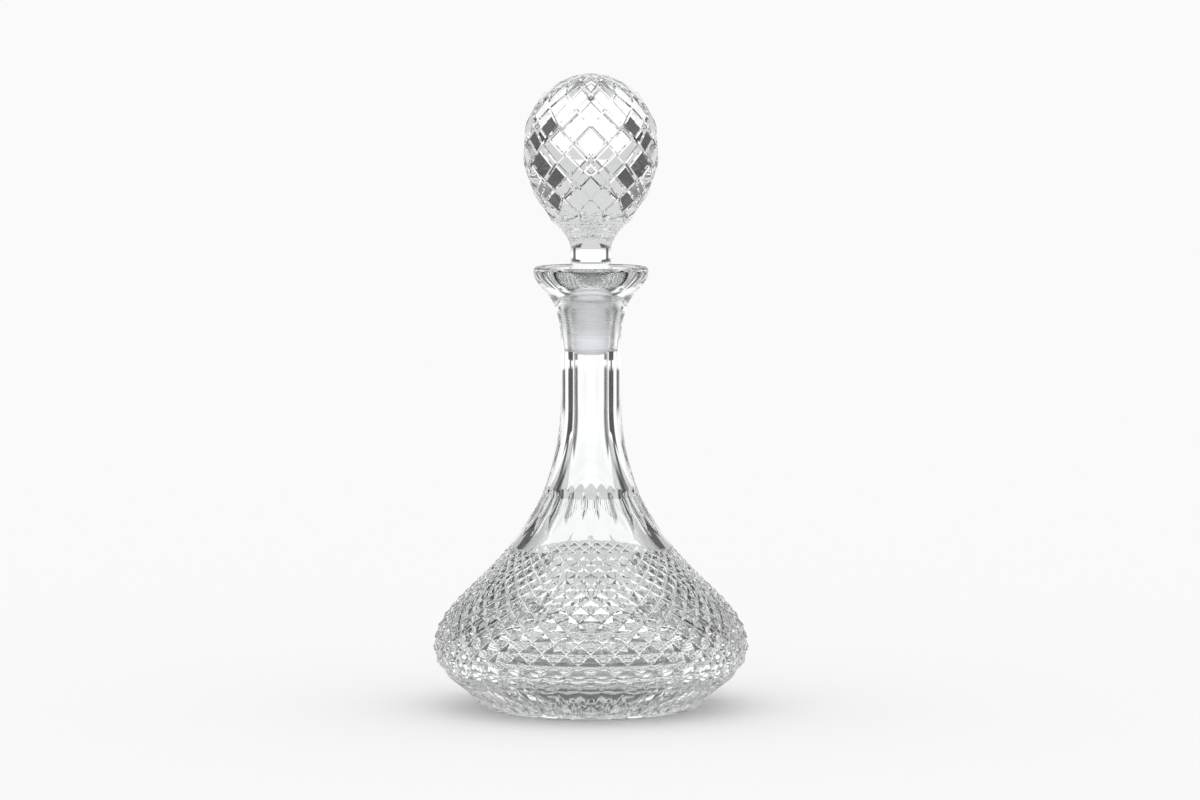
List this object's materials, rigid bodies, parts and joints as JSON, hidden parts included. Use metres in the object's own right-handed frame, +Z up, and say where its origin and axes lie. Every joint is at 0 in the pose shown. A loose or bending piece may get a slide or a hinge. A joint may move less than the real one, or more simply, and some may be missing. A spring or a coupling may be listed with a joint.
{
  "type": "wine decanter",
  "caption": "Cut-glass wine decanter with a broad low body, narrow neck, flared lip and a solid ball stopper with a ground plug.",
  "frame": {"origin": "centre of the foot, on the surface that the decanter stands on", "axes": "+Z up along the axis of the vessel, neck and stopper; +X and +Y are two equal side directions"},
  "size_m": [0.15, 0.15, 0.2997],
  "materials": {
    "vessel": "clear polished crystal, cut with diamonds and flutes",
    "stopper": "clear polished crystal, cut with diamonds; plug ground to a frosted finish"
  },
  "bodies": {
    "vessel": {"vessel": "vessel"},
    "stopper": {"stopper": "stopper"}
  },
  "joints": [
    {"name": "stopper_lift", "type": "slide", "parent": "vessel", "child": "stopper", "axis": [0, 0, 1], "range_m": [0, 0.06]}
  ]
}
